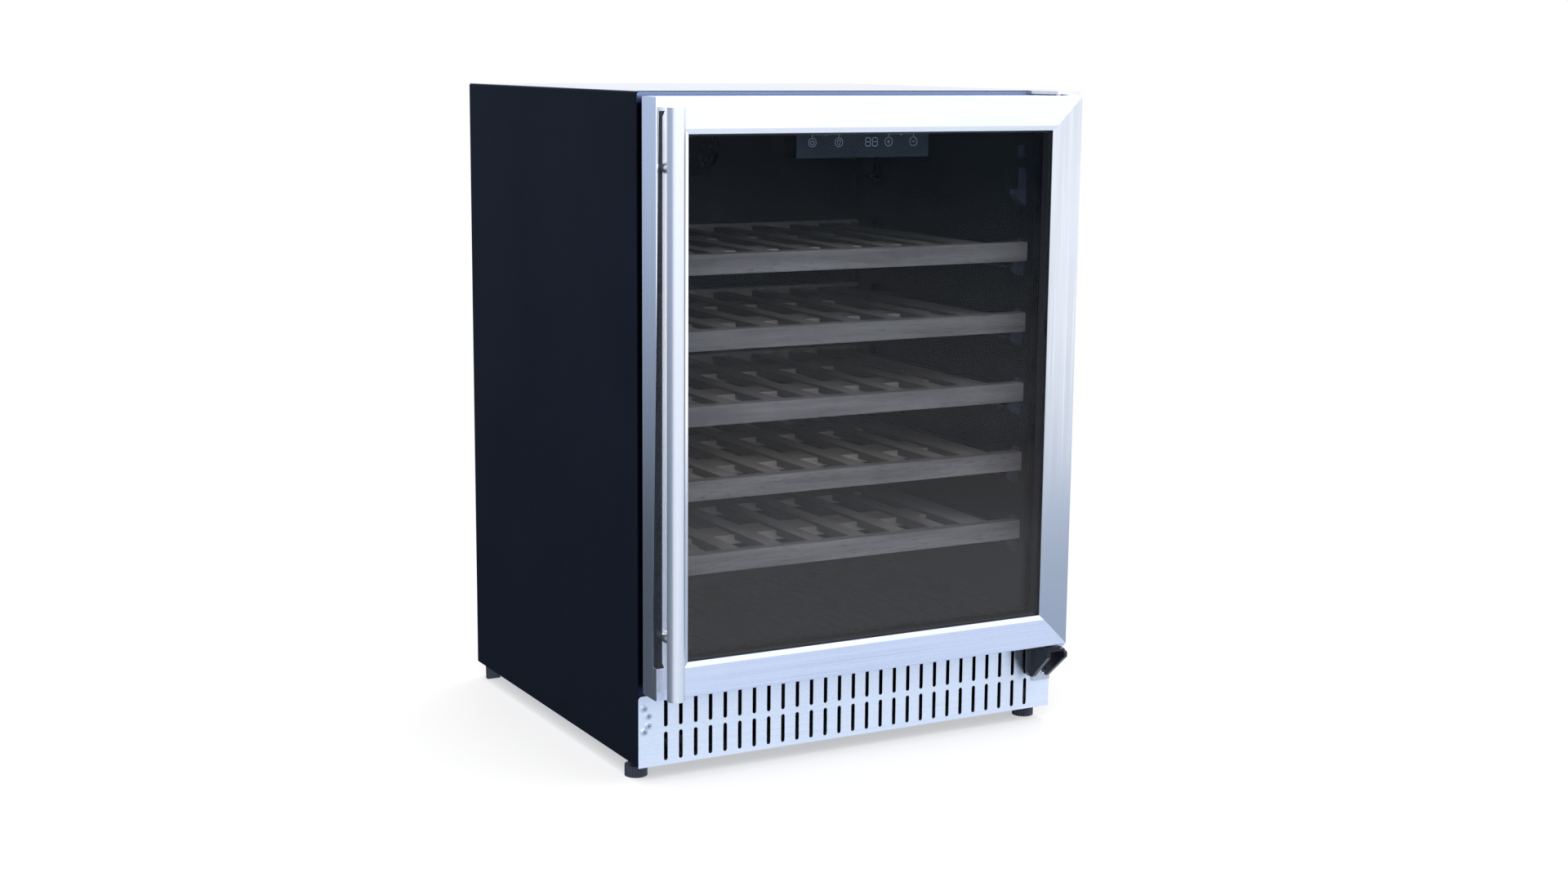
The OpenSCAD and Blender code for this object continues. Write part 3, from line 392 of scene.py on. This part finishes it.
# finish: (maker, its settings)
FINISHES = {
    "cabinet_paint": (coated_steel, dict(
        dark=(0.003, 0.005, 0.0105), light=(0.007, 0.0105, 0.019), grain=850.0, depth=0.25 * MM, rough=0.5,
        specular=0.02, smooth_top=True)),
    "flange_paint": (flange_paint, {}),
    "galvanised": (galvanised, {}),
    "foam": (foam, {}),
    "liner_plastic": (moulded_plastic, dict(
        dark=(0.0045, 0.006, 0.0075), light=(0.007, 0.0085, 0.0105), grain=700.0, depth=0.01 * MM, rough=0.5,
        specular=0.22)),
    "steel_left_stile": (brushed_steel, dict(
        tint=STEEL, across=(HALF, -HALF, 0), stretch=ALONG_Z, rough=0.21, spread=0.75, front_highlight=(0.98, 0.98, 1.0))),
    "steel_right_stile": (brushed_steel, dict(tint=STEEL, across=(HALF, HALF, 0), stretch=ALONG_Z, rough=0.32)),
    "steel_top_rail": (brushed_steel, dict(tint=STEEL, across=ACROSS_RAIL, stretch=ALONG_X, rough=0.32)),
    "steel_bottom_rail": (brushed_steel, dict(
        tint=SHADED_LOW_STEEL, across=(0, HALF, -HALF), stretch=ALONG_X, rough=0.26)),
    "steel_kickplate": (brushed_steel, dict(tint=SHADED_KICK_STEEL, across=ACROSS_RAIL, stretch=ALONG_X, rough=0.28)),
    "steel_tube": (brushed_steel, dict(tint=STEEL, across=(0, 0, 1), stretch=ALONG_Z, rough=0.36, spread=0.0)),
    "steel_fitting": (bare_metal, dict(tint=(0.74, 0.76, 0.8), stain=(0.66, 0.68, 0.73), rough=0.3, grain=700.0)),
    "screw_steel": (fastener, {}),
    "zinc": (bare_metal, dict(tint=(0.66, 0.68, 0.7), stain=(0.5, 0.52, 0.54), rough=0.3)),
    # painted shade: the runners' zinc is toned far darker, for the shade they sit in
    "dark_zinc": (bare_metal, dict(tint=(0.06, 0.065, 0.075), stain=(0.035, 0.038, 0.045), rough=0.45)),
    "aluminium": (bare_metal, dict(tint=(0.78, 0.79, 0.8), stain=(0.62, 0.63, 0.65), rough=0.35)),
    "condenser_paint": (coated_steel, dict(
        dark=(0.035, 0.036, 0.04), light=(0.07, 0.07, 0.075), grain=500.0, depth=0.05 * MM, rough=0.4,
        specular=0.5)),
    "fan_plastic": (moulded_plastic, dict(
        dark=(0.012, 0.013, 0.016), light=(0.022, 0.023, 0.027), grain=600.0, depth=0.05 * MM, rough=0.4)),
    "compressor_paint": (coated_steel, dict(
        dark=(0.008, 0.008, 0.009), light=(0.014, 0.014, 0.016), grain=160.0, depth=0.12 * MM, rough=0.25,
        specular=0.5)),
    "rubber": (moulded_plastic, dict(
        dark=(0.011, 0.0115, 0.013), light=(0.02, 0.0205, 0.022), grain=420.0, depth=0.08 * MM, rough=0.6,
        specular=0.3)),
    "copper": (bare_metal, dict(
        tint=(0.76, 0.4, 0.25), stain=(0.4, 0.22, 0.14), rough=0.32, grain=300.0, patch=40.0)),
    "white_plastic": (moulded_plastic, dict(
        dark=(0.6, 0.6, 0.57), light=(0.72, 0.72, 0.69), grain=500.0, depth=0.05 * MM, rough=0.42)),
    "touch_glass": (touch_glass, {}),
    "lit_mark": (lit_mark, {}),
    "diffuser": (diffuser, {}),
    "bracket_plastic": (moulded_plastic, dict(
        dark=(0.055, 0.058, 0.095), light=(0.08, 0.084, 0.13), grain=600.0, depth=0.03 * MM, rough=0.5,
        specular=0.2, fade="wall_brackets")),
    "smoked_glass": (smoked_glass, {}),
    "spacer_bar": (perforated_bar, {}),
    "cover_plastic": (moulded_plastic, dict(
        dark=(0.005, 0.0065, 0.012), light=(0.009, 0.011, 0.02), grain=900.0, depth=0.03 * MM, rough=0.3,
        specular=0.35)),
    "foot_plastic": (moulded_plastic, dict(
        dark=(0.014, 0.018, 0.032), light=(0.022, 0.028, 0.046), grain=700.0, depth=0.04 * MM, rough=0.4)),
    "gloss_black": (moulded_plastic, dict(
        dark=(0.006, 0.0075, 0.012), light=(0.011, 0.013, 0.019), grain=900.0, depth=0.03 * MM, rough=0.28,
        coat=0.15)),
    **{f"beech_{k}": (wood, dict(rack=f"rack_{k}")) for k in RACKS},
}
materials = {name: maker(name, **settings) for name, (maker, settings) in FINISHES.items()}

NODES_IN = {
    "cabinet_paint": ["cabinet_wrapper", "back_panel", "rear_cover"],
    "flange_paint": ["front_face_frame"],
    "galvanised": ["base_plate"],
    "dark_zinc": ["runner_channels"] + [f"rack_{k}_runners" for k in RACKS],
    "foam": ["foam_insulation"],
    "liner_plastic": ["inner_liner", "evaporator_cover", "control_housing"],
    "steel_left_stile": ["door_left_stile"],
    "steel_right_stile": ["door_right_stile"],
    "steel_top_rail": ["door_top_rail"],
    "steel_bottom_rail": ["door_bottom_rail"],
    "steel_kickplate": ["kickplate_grille"],
    "steel_tube": ["handle_tube"],
    "steel_fitting": ["handle_posts", "top_hinge_plate"],
    "screw_steel": ["cabinet_screws", "handle_screws"],
    "zinc": ["hinge_pins", "bottom_hinge_bracket"],
    "aluminium": ["evaporator_coil"],
    "condenser_paint": ["condenser_coil"],
    "fan_plastic": ["circulation_fan_frame", "circulation_fan_rotor", "condenser_fan_frame", "condenser_fan_rotor"],
    "compressor_paint": ["compressor"],
    "rubber": ["compressor_grommets", "door_gasket", "power_cord"],
    "copper": ["refrigerant_lines"],
    "white_plastic": ["drain_pan", "drain_tube", "power_board_box", "temperature_sensor", "hinge_bushes"],
    "touch_glass": ["touch_panel"],
    "diffuser": ["light_strip"],
    "bracket_plastic": ["wall_brackets"],
    "smoked_glass": ["outer_glass", "inner_glass"],
    "spacer_bar": ["glass_spacer"],
    "gloss_black": ["door_inner_frame", "grip_insert"],
    "cover_plastic": ["hinge_cover"],
    "foot_plastic": ["foot_left", "foot_right", "rear_feet"],
    **{f"beech_{k}": [f"rack_{k}"] for k in RACKS},
}
for finish, names in NODES_IN.items():
    for name in names:
        for held in nodes[name].material_slots:
            held.material = materials[finish]


# ---------------------------------------------------------------- mesh helpers

SMOOTH_BELOW = radians(40)      # edges sharper than this stay sharp


def piece(name, mesh_vertices, faces, finish, body, slot, smooth=True):
    mesh = bpy.data.meshes.new(name)
    mesh.from_pydata([tuple(v) for v in mesh_vertices], [], faces)
    bm = bmesh.new()
    bm.from_mesh(mesh)
    bmesh.ops.recalc_face_normals(bm, faces=bm.faces)
    bm.to_mesh(mesh)
    bm.free()
    mesh.materials.append(materials[finish])
    if smooth:
        mesh.set_sharp_from_angle(angle=SMOOTH_BELOW)
        mesh.polygons.foreach_set("use_smooth", [True] * len(mesh.polygons))
    made = placed(name, mesh)
    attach(made, body)
    return made


def placed(name, data):
    made = bpy.data.objects.new(name, data)
    bpy.context.scene.collection.objects.link(made)
    return made


def rounded_loop(x0, z0, x1, z1, radius, steps=6):
    """Outline of a rectangle with rounded corners, as (x, z) points."""
    corners = [(x1 - radius, z1 - radius, 0), (x0 + radius, z1 - radius, 90),
               (x0 + radius, z0 + radius, 180), (x1 - radius, z0 + radius, 270)]
    return [(cx + radius * cos(radians(start + 90 * i / steps)), cz + radius * sin(radians(start + 90 * i / steps)))
            for cx, cz, start in corners for i in range(steps + 1)]


def curved(points, per_segment=8):
    """Catmull-Rom line through the points."""
    points = [Vector(p) for p in points]
    padded = [2 * points[0] - points[1]] + points + [2 * points[-1] - points[-2]]
    line = []
    for i in range(1, len(padded) - 2):
        a, b, c, d = padded[i - 1:i + 3]
        for step in range(per_segment):
            t = step / per_segment
            line.append(0.5 * (2 * b + (c - a) * t + (2 * a - 5 * b + 4 * c - d) * t ** 2
                               + (3 * b - a - 3 * c + d) * t ** 3))
    return line + [points[-1]]


def tube(line, radius, sides=12):
    """Vertices and faces of a closed tube along the line. radius may be a number or one per point."""
    radii = radius if isinstance(radius, list) else [radius] * len(line)
    vertices, faces, side = [], [], None
    for i, point in enumerate(line):
        ahead = (line[min(i + 1, len(line) - 1)] - line[max(i - 1, 0)]).normalized()
        if side is None:
            side = ahead.orthogonal().normalized()
        side = (side - ahead * side.dot(ahead)).normalized()
        up = ahead.cross(side)
        vertices += [point + (side * cos(2 * pi * s / sides) + up * sin(2 * pi * s / sides)) * radii[i]
                     for s in range(sides)]
    for i in range(len(line) - 1):
        for s in range(sides):
            a, b = i * sides + s, i * sides + (s + 1) % sides
            faces.append((a, b, b + sides, a + sides))
    faces.append(tuple(range(sides)))
    faces.append(tuple(range(len(line) * sides - sides, len(line) * sides)))
    return vertices, faces


def joined(*parts):
    vertices, faces = [], []
    for part_vertices, part_faces in parts:
        faces += [tuple(index + len(vertices) for index in face) for face in part_faces]
        vertices += part_vertices
    return vertices, faces


def outline_prism(outline, y0, y1, inset=0.0):
    """Prism over an x-z outline, its far edges drawn in by inset."""
    count = len(outline)
    cx = sum(p[0] for p in outline) / count
    cz = sum(p[1] for p in outline) / count
    near = [Vector((x, y0, z)) for x, z in outline]
    far = [Vector((x + (cx - x) * inset, y1, z + (cz - z) * inset)) for x, z in outline]
    faces = [tuple(range(count)), tuple(range(count, 2 * count))]
    faces += [(i, (i + 1) % count, count + (i + 1) % count, count + i) for i in range(count)]
    return near + far, faces


def ring(cx, cz, radius, width, start=0.0, end=360.0, steps=40):
    """Flat ring or arc in the x-z plane, as an outline pair."""
    angles = [radians(start + (end - start) * i / steps) for i in range(steps + 1)]
    outer = [(cx + (radius + width / 2) * sin(a), cz + (radius + width / 2) * cos(a)) for a in angles]
    inner = [(cx + (radius - width / 2) * sin(a), cz + (radius - width / 2) * cos(a)) for a in angles]
    return outer, inner


def raised(y, height):
    """Lists that collect thin raised marks on a face at y, and the functions that add to them."""
    vertices, faces = [], []

    def add(outline_a, outline_b):
        """A band between two equally long lines."""
        base, count = len(vertices), len(outline_a)
        for depth in (y, y - height):
            for line in (outline_a, outline_b):
                vertices.extend((x, depth, z) for x, z in line)
        a0, b0, a1, b1 = (base + count * i for i in range(4))
        for i in range(count - 1):
            faces.extend([(a1 + i, a1 + i + 1, b1 + i + 1, b1 + i), (a0 + i, b0 + i, b0 + i + 1, a0 + i + 1),
                          (a0 + i, a0 + i + 1, a1 + i + 1, a1 + i), (b0 + i, b1 + i, b1 + i + 1, b0 + i + 1)])
        for i in (0, count - 1):
            faces.append((a0 + i, a1 + i, b1 + i, b0 + i))

    def bar(x0, z0, x1, z1, width):
        """A straight stroke."""
        dx, dz = x1 - x0, z1 - z0
        length = (dx * dx + dz * dz) ** 0.5
        nx, nz = -dz / length * width / 2, dx / length * width / 2
        add([(x0 + nx, z0 + nz), (x1 + nx, z1 + nz)], [(x0 - nx, z0 - nz), (x1 - nx, z1 - nz)])

    return vertices, faces, add, bar


# ---------------------------------------------------------------- pieces

def gasket():
    """Magnetic seal: a magnet pocket at the front and a two-pleat bellows behind it."""
    low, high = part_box("door_gasket")
    depth = high.y - low.y
    corner = 7 * MM
    # (how far in from the outer edge in mm, share of the depth), once round the section
    profile = [(1.0, 0.0), (12.0, 0.0), (12.0, 0.12), (9.6, 0.17), (13.4, 0.3), (10.2, 0.44), (14.0, 0.57),
               (15.0, 0.64), (15.0, 0.93), (14.3, 1.0), (0.7, 1.0), (0.0, 0.93), (0.0, 0.64), (1.0, 0.57),
               (4.8, 0.44), (1.6, 0.3), (5.4, 0.17), (1.0, 0.12)]
    vertices, faces = [], []
    for inset, share in profile:
        inset *= MM
        loop = rounded_loop(low.x + inset, low.z + inset, high.x - inset, high.z - inset, corner - inset * 0.3)
        vertices += [(x, low.y + depth * share, z) for x, z in loop]
    count = len(vertices) // len(profile)
    for i in range(len(profile)):
        for j in range(count):
            a, b = i * count, (i + 1) % len(profile) * count
            faces.append((a + j, a + (j + 1) % count, b + (j + 1) % count, b + j))
    made = piece("gasket_bellows", vertices, faces, "rubber", "door", "black_rubber")
    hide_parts("door_gasket")


def cord_line(start, centre):
    """The lead's path: out of the back, up it, round the coil and down to the plug."""
    turns, steps_a_turn = 3, 12
    widest, narrowing = 62, 5.0     # the coil's radius, and how much it loses a turn, in mm
    line = [start, start + Vector((0, 9 * MM, 0)), start + Vector((0, 14 * MM, 9 * MM)),
            start + Vector((1 * MM, 13 * MM, 90 * MM)), start + Vector((-1 * MM, 12 * MM, 190 * MM))]
    for step in range(steps_a_turn * turns + 1):
        angle = pi - 2 * pi * step / steps_a_turn
        radius = (widest - narrowing * step / steps_a_turn) * MM
        weave = (step % 5 - 2) * 0.5 * MM
        line.append(centre + Vector((cos(angle) * radius, weave, sin(angle) * radius)))
    line += [centre + Vector((-34 * MM, 3 * MM, -30 * MM)), centre + Vector((-10 * MM, 5 * MM, -52 * MM)),
             centre + Vector((0, 4 * MM, -74 * MM))]
    return curved(line, 5)


def power_cord():
    """Mains lead: strain relief at the back cover, a run up the back, a tied coil and a moulded plug."""
    low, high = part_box("power_cord")
    wire_radius = 3.4 * MM
    centre = Vector((low.x + 73 * MM, low.y + 10 * MM, 330 * MM))
    start = Vector((low.x + 7 * MM, low.y, 50 * MM))
    lead = tube(cord_line(start, centre), wire_radius, 10)
    relief = tube([start + Vector((0, d * MM, 0)) for d in (0.2, 2, 4, 6, 8, 10, 11)],
                  [r * MM for r in (6.6, 6.6, 5.2, 5.9, 4.8, 5.2, 4.2)], 16)
    plug_x, plug_y, plug_top, plug_bottom, half_plug = centre.x, high.y - 13 * MM, 252 * MM, 212 * MM, 15 * MM
    sleeve = tube([Vector((plug_x, plug_y, plug_top + d * MM)) for d in (20, 15, 10, 5, 0, -2)],
                  [r * MM for r in (4.0, 4.8, 4.4, 5.6, 5.2, 6.0)], 16)
    body = outline_prism(rounded_loop(plug_x - half_plug, plug_bottom, plug_x + half_plug, plug_top, 8 * MM),
                         plug_y - 10 * MM, plug_y + 12 * MM, 0.1)
    made = piece("mains_lead", *joined(lead, relief, sleeve, body), "rubber", "cabinet", "black_rubber")
    pins = [tube([Vector((plug_x + offset * MM, plug_y + 1 * MM, z * MM)) for z in (214, 193.5, 191.8)],
                 [r * MM for r in (2.4, 2.4, 1.4)], 12) for offset in (-9.5, 9.5)]
    piece("plug_pins", *joined(*pins), "zinc", "cabinet", "black_rubber")
    cord_tie(centre)
    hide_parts("power_cord")


def cord_tie(centre):
    """White tie round the coil's strands, high on its right side as seen from the front."""
    bearing, reach, half_wide, half_deep, steps = radians(35), 55 * MM, 14 * MM, 6.5 * MM, 24
    at = centre + Vector((cos(bearing) * reach, 0, sin(bearing) * reach))
    loop = []
    for step in range(steps + 1):
        angle = 2 * pi * step / steps
        loop.append(at + Vector((cos(bearing) * cos(angle) * half_wide, sin(angle) * half_deep,
                                 sin(bearing) * cos(angle) * half_wide)))
    piece("cord_tie", *tube(loop, 1.3 * MM, 8), "white_plastic", "cabinet", "white_plastic")


def touch_marks():
    """Generic symbols on the touch panel: power, lamp, a two-digit display, plus and minus."""
    low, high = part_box("touch_panel")
    width = high.x - low.x
    row = low.z + 0.5 * (high.z - low.z)
    stroke, thin, bold = 0.55 * MM, 0.5 * MM, 0.7 * MM
    circle, arm = 5.2 * MM, 2.4 * MM
    digit_wide, digit_half, gap = 6.8, 5.0, 0.6     # in mm
    vertices, faces, add, bar = raised(low.y, 0.12 * MM)
    shares = {"power": 0.116, "lamp": 0.314, "digits": 0.56, "plus": 0.691, "minus": 0.882}
    spots = {name: low.x + share * width for name, share in shares.items()}
    for name in ("power", "lamp", "plus", "minus"):
        add(*ring(spots[name], row, circle, thin))

    power = spots["power"]
    add(*ring(power, row - 0.2 * MM, 2.6 * MM, stroke, 35, 325))
    bar(power, row, power, row + 3.2 * MM, stroke)

    lamp = spots["lamp"]
    add(*ring(lamp, row + 0.6 * MM, 2.1 * MM, stroke, -140, 140))
    for drop in (2.0, 3.0):
        bar(lamp - 1.0 * MM, row - drop * MM, lamp + 1.0 * MM, row - drop * MM, stroke)

    for sign in ("plus", "minus"):
        bar(spots[sign] - arm, row, spots[sign] + arm, row, stroke)
    bar(spots["plus"], row - arm, spots["plus"], row + arm, stroke)

    for offset in (-8.2, 1.4):
        x0, x1 = spots["digits"] + offset * MM, spots["digits"] + (offset + digit_wide) * MM
        for level in (-digit_half, 0.0, digit_half):
            bar(x0 + 0.5 * MM, row + level * MM, x1 - 0.5 * MM, row + level * MM, bold)
        for x in (x0, x1):
            for level in (-digit_half, 0.0):
                bar(x, row + (level + gap) * MM, x, row + (level + digit_half - gap) * MM, bold)

    above = row + 9.3 * MM
    for left, right in (("power", "lamp"), ("plus", "minus")):
        middle = (spots[left] + spots[right]) / 2
        for end, side in ((left, -1), (right, 1)):
            bar(spots[end], above, middle + side * 2.6 * MM, above, thin)
            bar(spots[end], above, spots[end], row + 6.4 * MM, thin)
        add(*ring(middle, above + 0.4 * MM, 1.5 * MM, thin))
    piece("touch_marks", vertices, faces, "lit_mark", "cabinet", "touch_glass", smooth=False)


gasket()
power_cord()
touch_marks()


# ---------------------------------------------------------------- studio

BRIGHT = (1.32, 1.36, 1.45)
SKY = (1.35, 1.42, 1.6)
OVERHEAD = (2.3, 2.36, 2.46)
DIM_FLOOR = (0.35, 0.45, 0.63)
NEAR_FLOOR = (1.0, 1.1, 1.28)
SHADE_HIGH = (0.58, 0.7, 0.95)
SHADE_ABOVE = (0.7, 0.76, 0.88)
SHADE_LOW = (0.08, 0.1, 0.13)


def band(s, value, start, end, soft):
    """1 between start and end, falling to 0 over soft on each side."""
    rise = s.remap(value, start - soft, start, 0, 1, True)
    fall = s.remap(value, end, end + soft, 1, 0, True)
    return s.math("MULTIPLY", rise, fall)


def reflected(s, direction):
    """Colour of the studio as reflections see it, for a unit direction away from the object.
    White walls over a dim far floor and a white near floor; overhead panels in front; shade on the left."""
    x, y, z = s.split(direction)
    azimuth = s.math("MULTIPLY", s.math("ARCTAN2", x, s.math("MULTIPLY", y, -1.0)), 180 / pi)
    above = s.remap(z, 0.03, 0.25, 0, 1, True)
    look = s.blend(s.remap(z, -0.2, -0.155, 1, 0, True), BRIGHT, DIM_FLOOR)
    look = s.blend(s.remap(z, *NEAR_BAND, 1, 0, True), look, NEAR_FLOOR)
    look = s.blend(above, look, s.blend(band(s, azimuth, -40, 90, 20), SKY, OVERHEAD))
    shade = s.blend(s.remap(z, -0.21, -0.04, 1, 0), SHADE_HIGH, SHADE_LOW)
    shade = s.blend(above, shade, SHADE_ABOVE)
    side = s.math("MAXIMUM", band(s, azimuth, -180, -75, 18), s.remap(azimuth, 158, 172, 0, 1, True))
    return s.blend(side, look, shade)


class World(Shader):
    """The same builder for the world's nodes."""

    def __init__(self, world):
        self.mat = world
        world.use_nodes = True
        self.tree = world.node_tree
        self.tree.nodes.clear()
        self.out = self.tree.nodes.new("ShaderNodeOutputWorld")
        self.place = self.node("ShaderNodeTexCoord").outputs["Generated"]


def studio_world():
    """White to the camera, the studio to reflections, and to all else a grey that lightens upwards."""
    world = bpy.data.worlds.new("studio")
    bpy.context.scene.world = world
    s = World(world)
    rays = s.node("ShaderNodeLightPath").outputs
    grey = s.remap(s.split()[2], -0.2, 0.8, 0.55, 0.85)
    ambient = s.node("ShaderNodeCombineXYZ", {0: grey, 1: grey, 2: grey}).outputs[0]
    colour = s.blend(rays["Is Glossy Ray"], ambient, reflected(s, s.place))
    colour = s.blend(rays["Is Camera Ray"], colour, (1, 1, 1))
    s.finish(s.node("ShaderNodeBackground", {"Color": colour, "Strength": 1.0}).outputs[0])


def studio_floor():
    """Pale floor: soft shadows near the object, white further off, and the studio's colours to reflections."""
    mesh = bpy.data.meshes.new("floor")
    half_size, steps = 14.0, 8
    row = steps + 1
    grid = [(-half_size + 2 * half_size * i / steps, -half_size + 2 * half_size * j / steps, 0.0)
            for j in range(row) for i in range(row)]
    faces = [(j * row + i, j * row + i + 1, (j + 1) * row + i + 1, (j + 1) * row + i)
             for j in range(steps) for i in range(steps)]
    mesh.from_pydata(grid, [], faces)
    floor = placed("floor", mesh)
    s = Shader("floor")
    rays = s.node("ShaderNodeLightPath").outputs
    geometry = s.node("ShaderNodeNewGeometry").outputs
    tone = s.blend(s.noise(3.0, 3.0), (0.9, 0.9, 0.91), (0.93, 0.93, 0.94))
    matte = s.node("ShaderNodeBsdfDiffuse", {"Color": tone}).outputs[0]
    distance = s.node("ShaderNodeVectorMath", {0: geometry["Position"]}, operation="LENGTH").outputs["Value"]
    whitened = s.math("MULTIPLY", s.remap(distance, 0.2, 1.8, 0.45, 1, True), rays["Is Camera Ray"])
    white = s.node("ShaderNodeEmission", {"Color": (1, 1, 1, 1)}).outputs[0]
    shown = s.node("ShaderNodeMixShader", {0: whitened, 1: matte, 2: white}).outputs[0]
    away = s.node("ShaderNodeVectorMath", {0: geometry["Incoming"], 3: -1.0}, operation="SCALE").outputs[0]
    mirrored = s.node("ShaderNodeEmission", {"Color": reflected(s, away)}).outputs[0]
    s.finish(s.node("ShaderNodeMixShader", {0: rays["Is Glossy Ray"], 1: shown, 2: mirrored}).outputs[0])
    mesh.materials.append(s.mat)


def area_light(name, shape, size, power):
    data = bpy.data.lights.new(name, "AREA")
    data.shape, data.size, data.energy = shape, size, power
    light = placed(name, data)
    light.visible_glossy = False
    return light


def softbox(name, place, size, power):
    """Square light aimed at the object's middle."""
    middle = Vector((0, 0, 0.4))
    light = area_light(name, "SQUARE", size, power)
    light.location = place
    light.rotation_euler = (middle - Vector(place)).to_track_quat("-Z", "Y").to_euler()


def cavity_light():
    """Weak panel just behind the racks' front rails, standing in for light that bounces about in the cavity."""
    low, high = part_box("inner_liner")
    light = area_light("cavity_light", "RECTANGLE", 0.44, 1.1)
    light.data.size_y = 0.56
    light.location = (0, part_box("rack_1")[0].y + 22 * MM, (low.z + high.z) / 2 + 0.02)
    light.rotation_euler = (radians(90), 0, 0)
    light.visible_camera = False


def camera():
    """The photo's view: turned to the object, tipped down and rolled a little, in degrees."""
    turned_by, tipped_by, rolled_by = -28.562, -9.838, -0.512
    place = (-1.3808, -2.5846, 0.8671)
    data = bpy.data.cameras.new("camera")
    data.lens, data.sensor_width = 51.58, 36.0
    made = placed("camera", data)
    turn = (Matrix.Rotation(radians(turned_by), 4, "Z") @ Matrix.Rotation(radians(tipped_by), 4, "X")
            @ Matrix.Rotation(radians(rolled_by), 4, "Y") @ Matrix.Rotation(radians(90), 4, "X"))
    made.matrix_world = Matrix.Translation(place) @ turn
    bpy.context.scene.camera = made


studio_world()
studio_floor()
softbox("key", (-1.6, -2.4, 2.4), 2.2, 60)
softbox("fill", (2.2, -1.8, 2.0), 2.0, 35)
softbox("top", (0.2, 0.6, 3.0), 2.4, 50)
cavity_light()
camera()
bpy.context.scene.view_settings.view_transform = "Standard"
